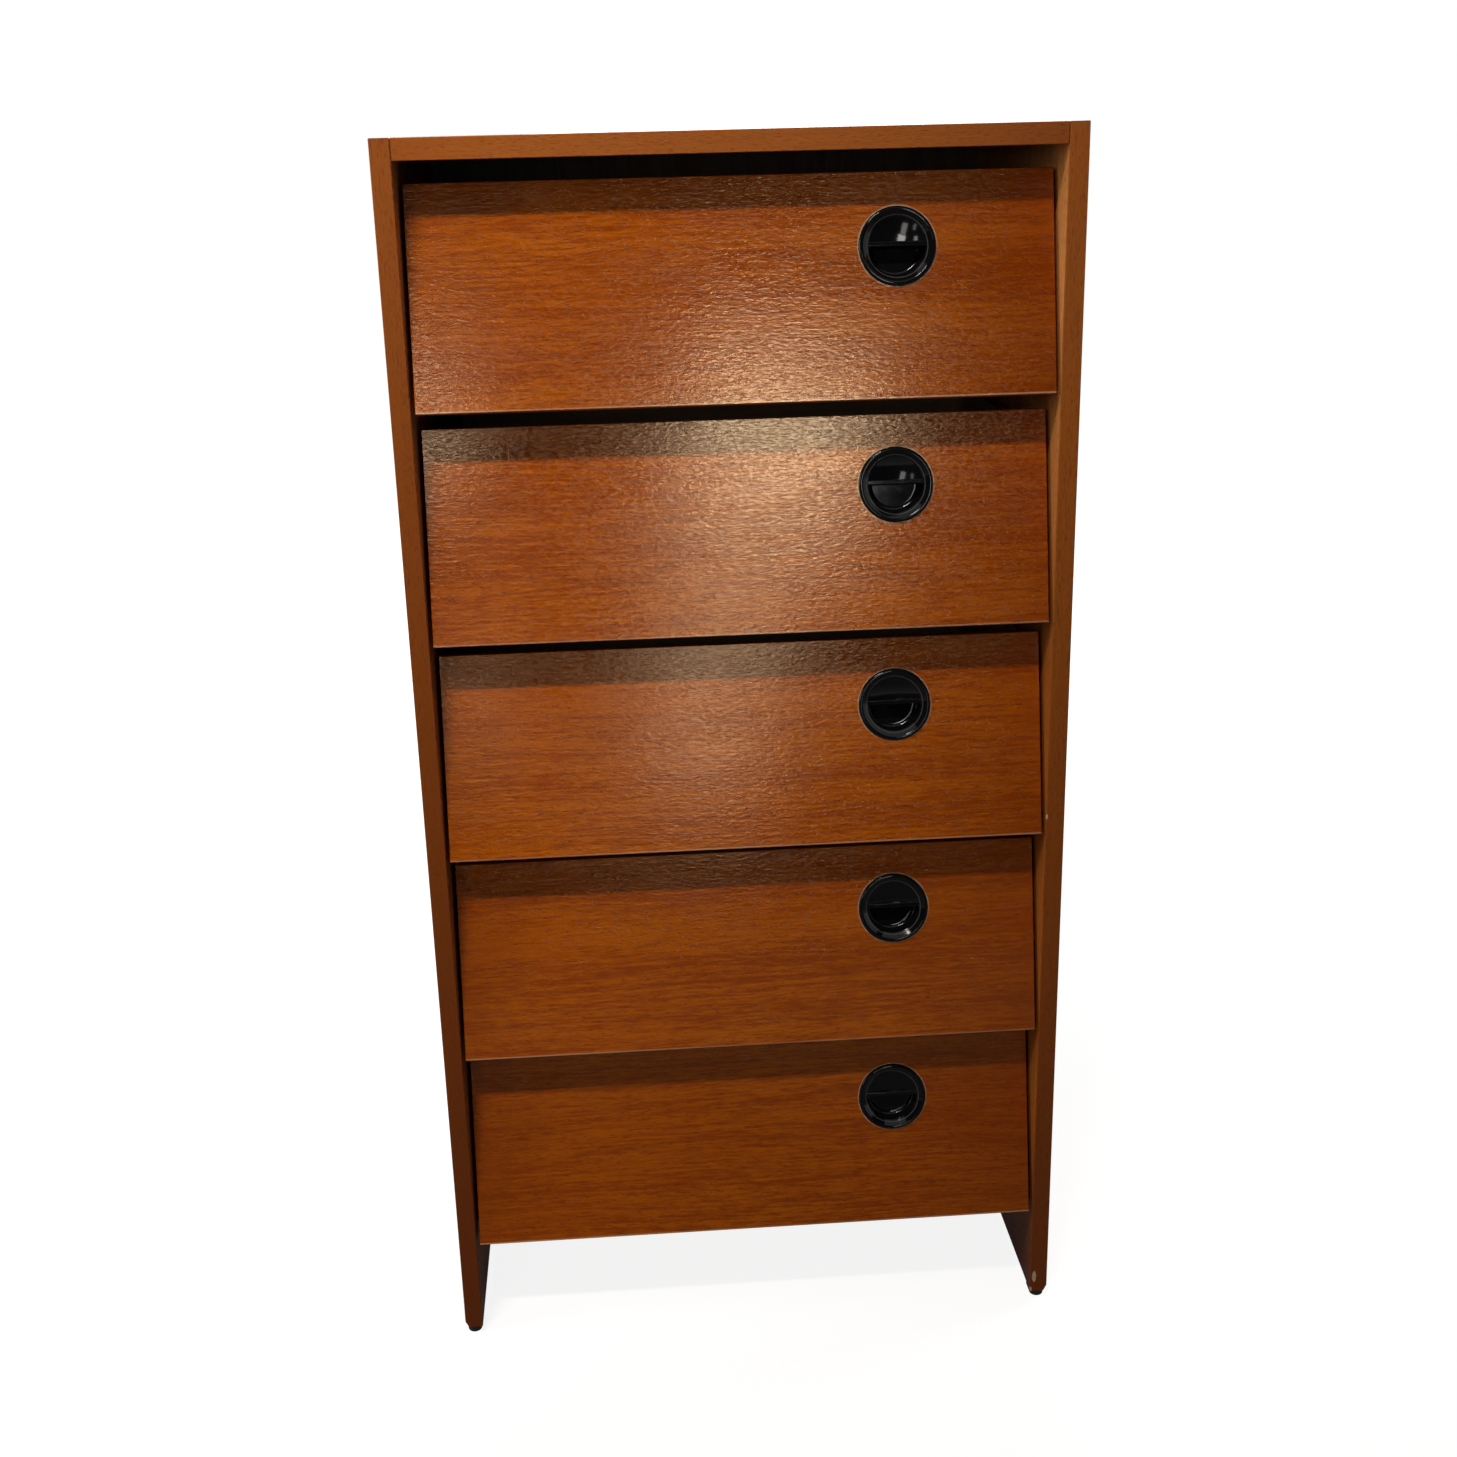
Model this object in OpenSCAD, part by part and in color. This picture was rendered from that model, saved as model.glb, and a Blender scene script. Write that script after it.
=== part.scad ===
// Tall chest of drawers with slanted fronts, as separate boards, runners, pulls and fixings.
// Millimetres, +Z up, front towards -Y. The origin is on the floor under the middle of the chest.

/* [Chest] */
// Width over the side panels
chest_width = 620; // [500:10:760]
// Depth from the front edges to the rear face of the back
chest_depth = 400; // [360:10:480]
// Thickness of the side panels
side_thickness = 18; // [16:1:24]
// Thickness of the top board
top_thickness = 19; // [16:1:26]
// Height of the side panels below the lowest front
leg_clearance = 99.5; // [60:0.5:160]
// Small bevel that breaks the sharp edges of the visible boards
edge_break = 0.6; // [0.3:0.1:1]
// Width of the bevel at the outer bottom edge of each side panel
foot_bevel_width = 3.5; // [1:0.5:5]
// Height of the bevel at the outer bottom edge of each side panel
foot_bevel_height = 7; // [2:0.5:12]

/* [Base and back] */
// Thickness of the board under the lowest drawer
base_thickness = 16; // [12:1:20]
// Gap between the base board and the lowest drawer, below it and in front of it
base_gap = 3; // [2:0.5:6]
// Thickness of the plywood back
back_thickness = 5; // [4:0.5:8]
// Width of the step that the back sits in, in the sides and the top
back_step = 9; // [6:1:12]

/* [Foot pads] */
// Height of a plastic foot pad
pad_height = 9; // [7:0.5:15]
// Width of a foot pad, across the side panel
pad_width = 14.5; // [10:0.5:15]
// Length of a foot pad, front to back
pad_length = 28; // [20:1:60]
// Distance of a foot pad from the front or rear edge of the side panel
pad_setback = 3; // [1:1:20]
// Radius of the rounded lower edge of a foot pad
pad_round = 2; // [0.5:0.5:3]
// Depth of the nail's recess in a foot pad
pad_recess = 4; // [2:0.5:4]

/* [Drawer fronts] */
// Upright height of a drawer front
front_height = 195; // [190:5:230]
// Distance that the top edge of a front lies behind its bottom edge
front_lean = 40; // [30:1:50]
// Thickness of a drawer front
front_thickness = 19; // [18:0.5:22]
// Open gap above each front
front_gap = 19.5; // [14:0.5:30]
// Gap at each end of a front
end_gap = 3.8; // [2.5:0.1:4.5]

/* [Drawer boxes] */
// Thickness of the drawer sides
box_side_thickness = 12; // [11:1:15]
// Thickness of the drawer back
box_back_thickness = 12; // [9:1:15]
// Height of the drawer sides
box_height = 157; // [140:1:160]
// Height of the drawer sides' lower edge above the front's lower edge
box_rise = 15; // [14:1:20]
// Space between the drawer back and the chest's back
box_back_space = 12; // [6:1:20]
// Depth of the joints in the front for the drawer sides and bottom
front_joint_depth = 6; // [4:0.5:8]
// Thickness of the plywood drawer bottom
bottom_thickness = 4; // [3:0.5:5]
// Height of the drawer bottom above the lower edge of the drawer sides
bottom_rise = 8; // [6:1:12]
// Depth of the groove for the drawer bottom
bottom_groove_depth = 5; // [4:0.5:6]
// Least height of one finger of the comb joint at the rear corners
comb_finger = 18; // [12:1:30]

/* [Runners] */
// Height of a runner batten
runner_height = 14; // [12:1:18]
// Thickness of a runner batten
runner_thickness = 9; // [8:0.5:9]
// Height of the runner's middle above the front's lower edge
runner_rise = 93; // [80:1:100]
// Distance of the runner's front end behind the front edges of the side panels
runner_setback = 62; // [60:1:80]
// Distance of the runner's rear end from the back
runner_back_space = 5; // [2:1:15]
// Gap between the top and the front end of a runner and the groove that rides on it
running_gap = 0.3; // [0.2:0.05:0.5]
// Free play under the runner in the groove
lift_gap = 0.7; // [0.4:0.1:1.5]
// Free play at the face of the runner in the groove
face_gap = 0.5; // [0.3:0.1:0.8]
// Bevel at the front corners of a runner
runner_bevel = 3; // [1:0.5:5]

/* [Pulls] */
// Outer diameter of a pull's rim
pull_diameter = 70; // [66:1:76]
// Distance of the pulls to the right of the chest's middle
pull_offset = 146; // [-160:2:160]
// Distance of a pull's middle from the top edge of its front, along the slope
pull_drop = 65; // [50:1:100]
// Width of the round bead of the rim
bead_width = 5.2; // [4:0.2:6]
// Diameter of the mouth of the bowl
mouth_diameter = 52; // [46:1:54]
// Depth of the mouth's edge behind the face of the front
mouth_depth = 1.2; // [0.5:0.1:2]
// Depth of the cup behind the face of the front
cup_depth = 17.5; // [15:0.5:17.5]
// Wall of the cup
cup_wall = 1.6; // [1.2:0.1:2]
// Radius between the bowl's wall and its floor
bowl_round = 6; // [3:0.5:8]
// Depth of the middle of the dished half plate behind the face of the front
dish_depth = 4.6; // [3.6:0.1:5]
// Thickness of the dished half plate
dish_wall = 1.6; // [1.2:0.1:2]
// Height of the straight grip lip along the half plate
lip_height = 4.6; // [4:0.1:6]
// Radius of the rounded edges of the grip lip
lip_round = 1.2; // [0.8:0.1:1.4]
// Clearance round the cup in the hole of the front
cup_gap = 0.3; // [0.2:0.1:0.6]

/* [Fixings] */
// Diameter of the wooden dowels
dowel_diameter = 8; // [6:1:8]
// Length of a dowel in the end of the top or base board
dowel_in_board = 22; // [16:1:30]
// Length of a dowel in a side panel
dowel_in_side = 11; // [8:1:12]
// Number of dowels at each end of a board
dowel_count = 4; // [3:1:6]
// Distance of the outer dowels from the front and rear edges of the board
dowel_margin = 45; // [30:5:80]
// Diameter of a runner screw's shank
screw_diameter = 3.5; // [3:0.5:4]
// Diameter of a runner screw's head
screw_head = 7; // [6:0.5:8]
// Length of a runner screw
screw_length = 20; // [16:1:22]
// Number of screws in a runner
screw_count = 3; // [2:1:5]
// Distance of the outer screws from the ends of a runner
screw_margin = 30; // [20:5:60]
// Diameter of a panel pin
pin_diameter = 1.8; // [1.4:0.2:2.4]
// Diameter of a panel pin's head
pin_head = 3.6; // [3:0.2:4.4]
// Height of a panel pin's head
pin_head_height = 0.8; // [0.5:0.1:1]
// Length of a panel pin
pin_length = 18; // [14:1:20]
// Largest distance between the pins round the back
pin_spacing = 150; // [80:10:250]
// Distance of the pins from the edge of the back
pin_edge = 4.5; // [3:0.5:6]
// Number of pins through the rear edge of a drawer bottom
bottom_pin_count = 4; // [2:1:8]
// Distance of the outer bottom pins from the drawer sides
bottom_pin_margin = 30; // [15:5:80]
// Diameter of a foot pad's nail
nail_diameter = 2.4; // [2:0.2:3]
// Diameter of the head of a foot pad's nail
nail_head = 6; // [5:0.5:7]
// Height of the head of a foot pad's nail
nail_head_height = 1.2; // [0.8:0.1:1.6]
// Length of a foot pad's nail
nail_length = 22; // [15:1:30]
// Clearance round every dowel, screw, pin and nail in its hole
hole_gap = 0.05; // [0.02:0.01:0.1]

/* [Hidden] */
$fn = 72;
DRAWERS = [1, 2, 3, 4, 5];
SIDES = ["left", "right"];
ENDS = ["front", "back"];
cut = 1;

// Chest
drawer_count = len(DRAWERS);
pitch = front_height + front_gap;
panel_height = leg_clearance + drawer_count * pitch + top_thickness;
front_y = -chest_depth / 2;
rear_y = chest_depth / 2;
back_y = rear_y - back_thickness;
inner_width = chest_width - 2 * side_thickness;
top_z = pad_height + panel_height - top_thickness;

// Drawer fronts
front_width = inner_width - 2 * end_gap;
lean_angle = atan(front_lean / front_height);
slope_length = norm([front_height, front_lean]);

// Drawer boxes, with heights above the front's lower edge
box_inner = front_width - 2 * box_side_thickness;
box_rear_y = back_y - box_back_space;
box_back_y = box_rear_y - box_back_thickness;
bottom_low = box_rise + bottom_rise;
comb_low = bottom_low + bottom_thickness;
comb_height = box_rise + box_height - comb_low;
comb_count = 2 * floor((comb_height / comb_finger - 1) / 2) + 1;
comb_step = comb_height / comb_count;

// Runners
runner_front_y = front_y + runner_setback;
runner_rear_y = back_y - runner_back_space;
groove_depth = runner_thickness - end_gap + face_gap;
groove_height = runner_height + running_gap + lift_gap;

// Base and back
base_top_z = pad_height + leg_clearance + box_rise - base_gap;
base_z = base_top_z - base_thickness;
base_front_y = front_face_y(box_rise) + front_thickness / cos(lean_angle) + base_gap;
back_high = top_z + back_step;

// Pulls
pull_r = pull_diameter / 2;
mouth_r = mouth_diameter / 2;
cup_r = mouth_r + cup_wall;
bead_r = bead_width / 2;
bead_x = pull_r - bead_r;
bead_away = norm([bead_x - mouth_r, mouth_depth]);
land_angle = atan2(mouth_depth, bead_x - mouth_r) + asin(bead_r / bead_away);
land_length = sqrt(pow(bead_away, 2) - pow(bead_r, 2));
dish_sag = dish_depth - mouth_depth;
dish_r = (pow(mouth_r, 2) + pow(dish_sag, 2)) / (2 * dish_sag);

// -1 for what is on the left, 1 for what is on the right
function hand(s) = s == "left" ? -1 : 1;
// Height of the lower edge of a front, with front 1 at the top
function front_z(i) = pad_height + leg_clearance + (drawer_count - i) * pitch;
// Depth of a front's face at a height above its lower edge
function front_face_y(h) = front_y + h * tan(lean_angle);
// Depth of the bottom of the joints in a front's rear face
function joint_y(h) = front_face_y(h) + (front_thickness - front_joint_depth) / cos(lean_angle);
// Evenly spaced places from a to b, both included
function spread(a, b, n) = [for (k = [0 : n - 1]) a + (b - a) * k / (n - 1)];
// Places no further apart than pin_spacing
function pin_places(a, b) = spread(a, b, ceil((b - a) / pin_spacing) + 1);
// A list without its first and last entries
function inner_of(list) = [for (k = [1 : len(list) - 2]) list[k]];

// ---- shapes used by several pieces ----

// Rectangle with its corners cut off by the edge break
module eased_rectangle(w, h) {
    b = edge_break;
    polygon([[b, 0], [w - b, 0], [w, b], [w, h - b], [w - b, h], [b, h], [0, h - b], [0, b]]);
}

// Board with every edge broken, from the origin to the corner [w, d, h]
module eased_board(w, d, h) {
    intersection() {
        linear_extrude(h) eased_rectangle(w, d);
        translate([0, d, 0]) rotate([90, 0, 0]) linear_extrude(d) eased_rectangle(w, h);
        rotate([90, 0, 90]) linear_extrude(w) eased_rectangle(d, h);
    }
}

// Box between two corners
module span(low, high) {
    translate(low) cube(high - low);
}

// Puts what is drawn for the left of the chest on side s
module on_side(s) {
    mirror([s == "left" ? 0 : 1, 0, 0]) children();
}

// Pin with a flat head, with the head's face at the origin, pointing along +Z
module pin(d, length, head_d, head_height, gap) {
    cylinder(d = head_d + 2 * gap, h = head_height + gap);
    cylinder(d = d + 2 * gap, h = length + gap);
}

module panel_pin(gap) {
    pin(pin_diameter, pin_length, pin_head, pin_head_height, gap);
}

// Countersunk screw, with the head's face at the origin, pointing along +Z
module screw(gap) {
    head_r = screw_head / 2 + gap;
    r = screw_diameter / 2 + gap;
    tip = screw_length + gap;
    rotate_extrude() polygon([[0, 0], [head_r, 0], [r, head_r - r], [r, tip - r], [0, tip]]);
}

// ---- carcass ----

// Section of the left side panel seen from the front
module side_section() {
    b = edge_break;
    w = side_thickness;
    h = panel_height;
    polygon([
        [foot_bevel_width, 0], [w - b, 0], [w, b], [w, h - b],
        [w - b, h], [b, h], [0, h - b], [0, foot_bevel_height]
    ]);
}

module side_panel(s) {
    color("sienna") difference() {
        on_side(s) translate([-chest_width / 2, 0, pad_height]) intersection() {
            translate([0, rear_y, 0]) rotate([90, 0, 0]) linear_extrude(chest_depth) side_section();
            translate([0, front_y, 0])
                linear_extrude(panel_height) eased_rectangle(side_thickness, chest_depth);
        }
        back_blank();
        dowel_set(hole_gap);
        back_pin_set(hole_gap);
        pad_nail_set(hole_gap);
        for (i = DRAWERS) runner_screw_set(i, s, hole_gap);
    }
}

module top_panel() {
    color("sienna") difference() {
        translate([-inner_width / 2, front_y, top_z])
            eased_board(inner_width, chest_depth, top_thickness);
        back_blank();
        dowel_set(hole_gap);
        back_pin_set(hole_gap);
    }
}

module base_panel() {
    color("burlywood") difference() {
        span([-inner_width / 2, base_front_y, base_z], [inner_width / 2, back_y, base_top_z]);
        dowel_set(hole_gap);
        back_pin_set(hole_gap);
    }
}

// The back without its pin holes, which is also the step that is cut for it
module back_blank() {
    w = inner_width / 2 + back_step;
    span([-w, back_y, base_z], [w, rear_y, back_high]);
}

module back_panel() {
    color("burlywood") difference() {
        back_blank();
        back_pin_set(hole_gap);
    }
}

// Dowels in both ends of the top and base boards
module dowel_set(gap) {
    x = inner_width / 2 + dowel_in_side + gap;
    length = dowel_in_side + dowel_in_board + 2 * gap;
    boards = [[front_y, top_z + top_thickness / 2], [base_front_y, base_z + base_thickness / 2]];
    for (s = SIDES, board = boards)
        for (y = spread(board[0] + dowel_margin, back_y - dowel_margin, dowel_count))
            translate([hand(s) * x, y, board[1]])
                rotate([0, -90 * hand(s), 0]) cylinder(d = dowel_diameter + 2 * gap, h = length);
}

// Pins through the back into the sides, the top and the base
module back_pin_set(gap) {
    x = inner_width / 2 + back_step - pin_edge;
    low = base_z + base_thickness / 2;
    high = back_high - pin_edge;
    beside = [for (s = SIDES, z = pin_places(low, high)) [hand(s) * x, rear_y, z]];
    along = [for (z = [low, high], p = inner_of(pin_places(-x, x))) [p, rear_y, z]];
    for (place = concat(beside, along)) translate(place) rotate([90, 0, 0]) panel_pin(gap);
}

// ---- foot pads ----

// Middle of the underside of a foot pad
function pad_place(s, e) = [
    hand(s) * (chest_width - side_thickness) / 2,
    (e == "front" ? -1 : 1) * (chest_depth / 2 - pad_setback - pad_length / 2),
    0
];

// Half of a pad's section, from its middle out to its rounded edge
module pad_section() {
    w = pad_width / 2;
    r = pad_round;
    translate([w - r, r]) intersection() {
        circle(r);
        translate([0, -r]) square(r);
    }
    square([w - r, pad_height]);
    translate([0, r]) square([w, pad_height - r]);
}

module foot_pad(s, e) {
    straight = pad_length - pad_width;
    color("black") difference() {
        translate(pad_place(s, e)) {
            for (end = [-1, 1]) translate([0, end * straight / 2, 0]) rotate_extrude() pad_section();
            for (m = [0, 1]) mirror([m, 0, 0])
                translate([0, straight / 2, 0]) rotate([90, 0, 0]) linear_extrude(straight) pad_section();
        }
        translate(pad_place(s, e) - [0, 0, cut])
            cylinder(d = nail_head + 2 * hole_gap, h = pad_recess + cut);
        pad_nail_set(hole_gap);
    }
}

module pad_nail_set(gap) {
    for (s = SIDES, e = ENDS)
        translate(pad_place(s, e) + [0, 0, pad_recess])
            pin(nail_diameter, nail_length, nail_head, nail_head_height, gap);
}

// ---- runners ----

module runner(i, s) {
    x = hand(s) * (inner_width - runner_thickness) / 2;
    length = runner_rear_y - runner_front_y;
    h = runner_height;
    b = runner_bevel;
    color("tan") difference() {
        translate([x - runner_thickness / 2, runner_front_y, front_z(i) + runner_rise - h / 2])
            rotate([90, 0, 90]) linear_extrude(runner_thickness)
                polygon([[0, b], [b, 0], [length, 0], [length, h], [b, h], [0, h - b]]);
        runner_screw_set(i, s, hole_gap);
    }
}

module runner_screw_set(i, s, gap) {
    x = inner_width / 2 - runner_thickness;
    for (y = spread(runner_front_y + screw_margin, runner_rear_y - screw_margin, screw_count))
        translate([hand(s) * x, y, front_z(i) + runner_rise]) rotate([0, 90 * hand(s), 0]) screw(gap);
}

// ---- drawers ----

// Places its children on the face of a front: +Z runs up the slope and -Y out of the face
module on_front(i) {
    translate([0, front_y, front_z(i)]) rotate([-lean_angle, 0, 0]) children();
}

// Places its children at the middle of a pull: +Z runs out of the face and +Y up the slope
module at_pull(i) {
    on_front(i) translate([pull_offset, 0, slope_length - pull_drop]) rotate([90, 0, 0]) children();
}

// A drawer side without its grooves, with its front end cut on the slant
module box_side_blank(i, s) {
    low = box_rise;
    high = box_rise + box_height;
    on_side(s) translate([-front_width / 2, 0, front_z(i)]) rotate([90, 0, 90])
        linear_extrude(box_side_thickness)
            polygon([[joint_y(low), low], [box_rear_y, low], [box_rear_y, high], [joint_y(high), high]]);
}

module box_bottom_blank(i) {
    x = box_inner / 2 + bottom_groove_depth;
    z = front_z(i) + bottom_low;
    span([-x, joint_y(comb_low), z], [x, box_rear_y, z + bottom_thickness]);
}

// Groove for the runner in the outer face of a drawer side, open at the rear
module runner_groove(i, s) {
    top = front_z(i) + runner_rise + runner_height / 2 + running_gap;
    x = front_width / 2 - groove_depth;
    on_side(s) span(
        [-front_width / 2 - cut, runner_front_y - running_gap, top - groove_height],
        [-x, box_rear_y + cut, top]
    );
}

// Fingers of the comb joints at the ends of the drawer back
module back_fingers(i) {
    for (s = SIDES, k = [0 : 2 : comb_count - 1])
        on_side(s) translate([-front_width / 2, box_back_y, front_z(i) + comb_low + k * comb_step])
            cube([box_side_thickness, box_back_thickness, comb_step]);
}

module drawer_front(i) {
    color("peru") difference() {
        on_front(i) translate([-front_width / 2, 0, 0])
            eased_board(front_width, front_thickness, slope_length);
        for (s = SIDES) box_side_blank(i, s);
        box_bottom_blank(i);
        at_pull(i) translate([0, 0, -front_thickness - cut])
            cylinder(r = cup_r + cup_gap, h = front_thickness + 2 * cut);
    }
}

module drawer_side(i, s) {
    color("wheat") difference() {
        box_side_blank(i, s);
        box_bottom_blank(i);
        runner_groove(i, s);
        back_fingers(i);
    }
}

module drawer_back(i) {
    z = front_z(i) + comb_low;
    color("wheat") difference() {
        union() {
            span([-box_inner / 2, box_back_y, z], [box_inner / 2, box_rear_y, z + comb_height]);
            back_fingers(i);
        }
        for (s = SIDES) runner_groove(i, s);
        bottom_pin_set(i, hole_gap);
    }
}

module drawer_bottom(i) {
    color("burlywood") difference() {
        box_bottom_blank(i);
        bottom_pin_set(i, hole_gap);
    }
}

// Pins up through the rear edge of a drawer bottom into the drawer back
module bottom_pin_set(i, gap) {
    x = box_inner / 2 - bottom_pin_margin;
    y = (box_back_y + box_rear_y) / 2;
    for (p = spread(-x, x, bottom_pin_count))
        translate([p, y, front_z(i) + bottom_low]) panel_pin(gap);
}

// ---- pulls ----

// Section of the hollow inside the bowl, with a round corner at its floor
module bowl_section() {
    r = bowl_round;
    depth = cup_depth - cup_wall;
    translate([mouth_r - r, r - depth]) intersection() {
        circle(r);
        translate([0, -r]) square(r);
    }
    translate([0, -depth]) square([mouth_r - r, depth + cut]);
    translate([0, r - depth]) square([mouth_r, depth - r + cut]);
}

// Section of the cup and its rim, from the axis outwards
module cup_section() {
    difference() {
        union() {
            translate([0, -cup_depth]) square([cup_r, cup_depth - mouth_depth]);
            intersection() {
                translate([bead_x, 0]) circle(bead_r);
                square([pull_r, bead_r]);
            }
            polygon([
                [mouth_r, -mouth_depth],
                [mouth_r + land_length * cos(land_angle), land_length * sin(land_angle) - mouth_depth],
                [bead_x, 0],
                [cup_r, 0],
                [cup_r, -2 * mouth_depth],
                [mouth_r, -2 * mouth_depth]
            ]);
        }
        bowl_section();
    }
}

// Section of the half plate, a slice of a hollow ball that reaches into the cup's wall
module dish_section() {
    translate([0, dish_r - dish_depth]) intersection() {
        difference() {
            circle(dish_r + dish_wall);
            circle(dish_r);
        }
        translate([0, -dish_r - dish_wall]) square([mouth_r + cup_wall / 2, dish_sag + dish_wall]);
    }
}

// Section of the grip lip: +X runs up the slope and +Y out of the face
module lip_section() {
    r = lip_round;
    depth = dish_sag + dish_wall;
    translate([0, -mouth_depth - depth]) {
        translate([r, 0]) square([lip_height - 2 * r, depth]);
        translate([0, r]) square([lip_height, depth - 2 * r]);
        for (x = [r, lip_height - r], y = [r, depth - r]) translate([x, y]) circle(r);
    }
}

module pull(i) {
    color("black") at_pull(i) {
        rotate_extrude() cup_section();
        rotate_extrude(angle = 180) dish_section();
        intersection() {
            translate([-mouth_r, 0, 0]) rotate([90, 0, 90]) linear_extrude(2 * mouth_r) lip_section();
            translate([0, 0, -cup_depth]) cylinder(r = mouth_r, h = cup_depth);
        }
    }
}

// ---- one line for each node, or each row of like nodes ----

for (s = SIDES) side_panel(s);
top_panel();
base_panel();
back_panel();
color("wheat") dowel_set(0);  // carcass_dowels
color("silver") back_pin_set(0);  // back_pins
color("gold") for (i = DRAWERS, s = SIDES) runner_screw_set(i, s, 0);  // runner_screws
for (s = SIDES, e = ENDS) foot_pad(s, e);
color("silver") pad_nail_set(0);  // foot_pad_nails
for (i = DRAWERS, s = SIDES) runner(i, s);
for (i = DRAWERS) drawer_front(i);
for (i = DRAWERS, s = SIDES)
    drawer_side(i, s);
for (i = DRAWERS) drawer_back(i);
for (i = DRAWERS) drawer_bottom(i);
for (i = DRAWERS)
    color("silver") bottom_pin_set(i, 0);
for (i = DRAWERS) pull(i);
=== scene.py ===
import math

import bpy
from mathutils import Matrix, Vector


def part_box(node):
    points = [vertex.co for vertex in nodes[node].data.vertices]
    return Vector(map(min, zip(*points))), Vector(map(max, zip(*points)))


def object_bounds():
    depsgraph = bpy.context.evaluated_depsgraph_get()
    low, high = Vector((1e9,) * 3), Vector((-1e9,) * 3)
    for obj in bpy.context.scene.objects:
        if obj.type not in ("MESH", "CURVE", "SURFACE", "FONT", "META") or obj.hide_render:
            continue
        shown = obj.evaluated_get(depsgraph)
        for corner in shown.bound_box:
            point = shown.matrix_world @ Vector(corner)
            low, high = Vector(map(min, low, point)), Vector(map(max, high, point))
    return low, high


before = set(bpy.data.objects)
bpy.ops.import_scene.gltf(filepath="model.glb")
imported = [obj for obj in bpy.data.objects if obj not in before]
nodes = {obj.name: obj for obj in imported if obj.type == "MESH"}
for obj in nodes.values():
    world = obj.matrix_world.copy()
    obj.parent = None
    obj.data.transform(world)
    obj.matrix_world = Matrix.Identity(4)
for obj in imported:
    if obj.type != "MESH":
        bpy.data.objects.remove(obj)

chestLow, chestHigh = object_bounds()
middle = (chestLow + chestHigh) / 2
print("frame loaded:", len(nodes), "CAD nodes")


# the camera stands a little left of the middle, level with the top, and looks down
cameraSetup = {
    "lens": 44.45,              # mm
    "leftOfMiddle": 0.1197,     # metres
    "beforeFront": 1.6151,
    "aboveTop": 0.0023,
    "tilt": 71.497,             # degrees, from straight down
    "roll": 1.346,
    "swing": -4.085,
}

cameraData = bpy.data.cameras.new("camera")
cameraData.lens = cameraSetup["lens"]
camera = bpy.data.objects.new("camera", cameraData)
camera.location = (
    middle.x - cameraSetup["leftOfMiddle"],
    chestLow.y - cameraSetup["beforeFront"],
    chestHigh.z + cameraSetup["aboveTop"],
)
camera.rotation_euler = [math.radians(cameraSetup[turn]) for turn in ("tilt", "roll", "swing")]
bpy.context.scene.collection.objects.link(camera)
bpy.context.scene.camera = camera
bpy.context.scene.view_settings.view_transform = "Standard"
print("camera placed")


usualSpan = (0.3, 0.7)      # most of a noise lies between these


def startMaterial(name):
    material = bpy.data.materials.new(name)
    material.use_nodes = True
    material.node_tree.nodes.clear()
    return material, material.node_tree


def addNode(tree, kind, inputs=None, **settings):
    # inputs holds numbers, colours, or the outputs of other nodes
    node = tree.nodes.new(kind)
    for name, value in settings.items():
        setattr(node, name, value)
    for name, value in (inputs or {}).items():
        if isinstance(value, bpy.types.NodeSocket):
            tree.links.new(value, node.inputs[name])
        else:
            node.inputs[name].default_value = value
    return node


def maths(tree, way, first, second=0.0):
    return addNode(tree, "ShaderNodeMath", {0: first, 1: second}, operation=way).outputs[0]


def vectorMaths(tree, way, first, second=(0, 0, 0)):
    node = addNode(tree, "ShaderNodeVectorMath", {0: first, 1: second}, operation=way)
    return node.outputs["Value" if way in ("LENGTH", "DOT_PRODUCT") else "Vector"]


def between(tree, value, low, high, newLow=0.0, newHigh=1.0):
    # low and high become newLow and newHigh, and nothing goes past them
    values = {"Value": value, "From Min": low, "From Max": high,
              "To Min": newLow, "To Max": newHigh}
    return addNode(tree, "ShaderNodeMapRange", values).outputs["Result"]


def blend(tree, share, first, second):
    rgb = [c if isinstance(c, bpy.types.NodeSocket) else (*c, 1) for c in (first, second)]
    node = addNode(tree, "ShaderNodeMix", {0: share, 6: rgb[0], 7: rgb[1]}, data_type="RGBA")
    return node.outputs[2]      # 6, 7 and 2 are the node's colour sockets


def weighted(tree, layers, mix):
    # the sum of the layers that mix names, each times its weight
    total = None
    for part, weight in mix.items():
        share = maths(tree, "MULTIPLY", layers[part], weight)
        total = share if total is None else maths(tree, "ADD", total, share)
    return total


def objectPlace(tree):
    return addNode(tree, "ShaderNodeTexCoord").outputs["Object"]


def splitAxes(tree, vector):
    return addNode(tree, "ShaderNodeSeparateXYZ", {0: vector}).outputs


def grainPlace(tree, grain):
    # the place in metres, turned so that the axis along the grain comes first
    axes = splitAxes(tree, objectPlace(tree))
    order = {"x": "XZY", "y": "YZX", "z": "ZYX"}[grain]
    parts = {i: axes[letter] for i, letter in enumerate(order)}
    return addNode(tree, "ShaderNodeCombineXYZ", parts).outputs[0]


def grainNoise(tree, place, along, across, detail=3.0, rough=0.5, shift=0.0, twist=0.0):
    # noise with that many waves a metre along and across the grain
    values = {"Vector": place, "Location": (shift, shift, 0), "Scale": (along, across, across)}
    spot = addNode(tree, "ShaderNodeMapping", values).outputs[0]
    values = {"Vector": spot, "Scale": 1.0, "Detail": detail, "Roughness": rough,
              "Distortion": twist}
    return addNode(tree, "ShaderNodeTexNoise", values).outputs["Fac"]


def evenNoise(tree, place, waves, detail):
    # noise that is alike in every direction
    values = {"Vector": place, "Scale": waves, "Detail": detail}
    return addNode(tree, "ShaderNodeTexNoise", values).outputs["Fac"]


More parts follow.
